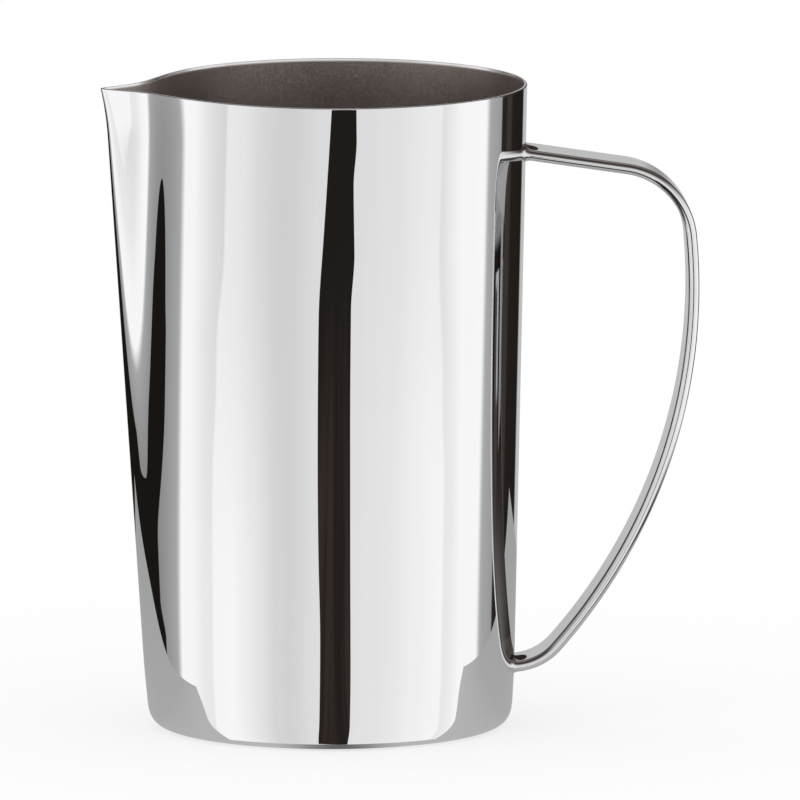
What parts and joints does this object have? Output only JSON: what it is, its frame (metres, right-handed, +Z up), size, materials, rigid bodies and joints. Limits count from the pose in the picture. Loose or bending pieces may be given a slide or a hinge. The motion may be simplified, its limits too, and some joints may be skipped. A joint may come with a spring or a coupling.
{
  "type": "milk jug",
  "caption": "Open polished steel milk jug: a tall round drawn shell with a long pulled spout, plain rim and flat base, and a bent strap handle welded on opposite the spout.",
  "frame": {"origin": "where the axis of the round base meets the table", "axes": "+Z up along the body axis, +X towards the handle, -X towards the spout"},
  "size_m": [0.1448, 0.0914, 0.157],
  "materials": {
    "polished_steel": "mirror polished outside, fine satin inside",
    "polished_strap": "mirror polished",
    "weld_steel": "ground and polished weld"
  },
  "bodies": {
    "root": {"body_shell": "polished_steel", "handle_strap": "polished_strap", "upper_weld": "weld_steel", "lower_weld": "weld_steel"}
  },
  "joints": []
}
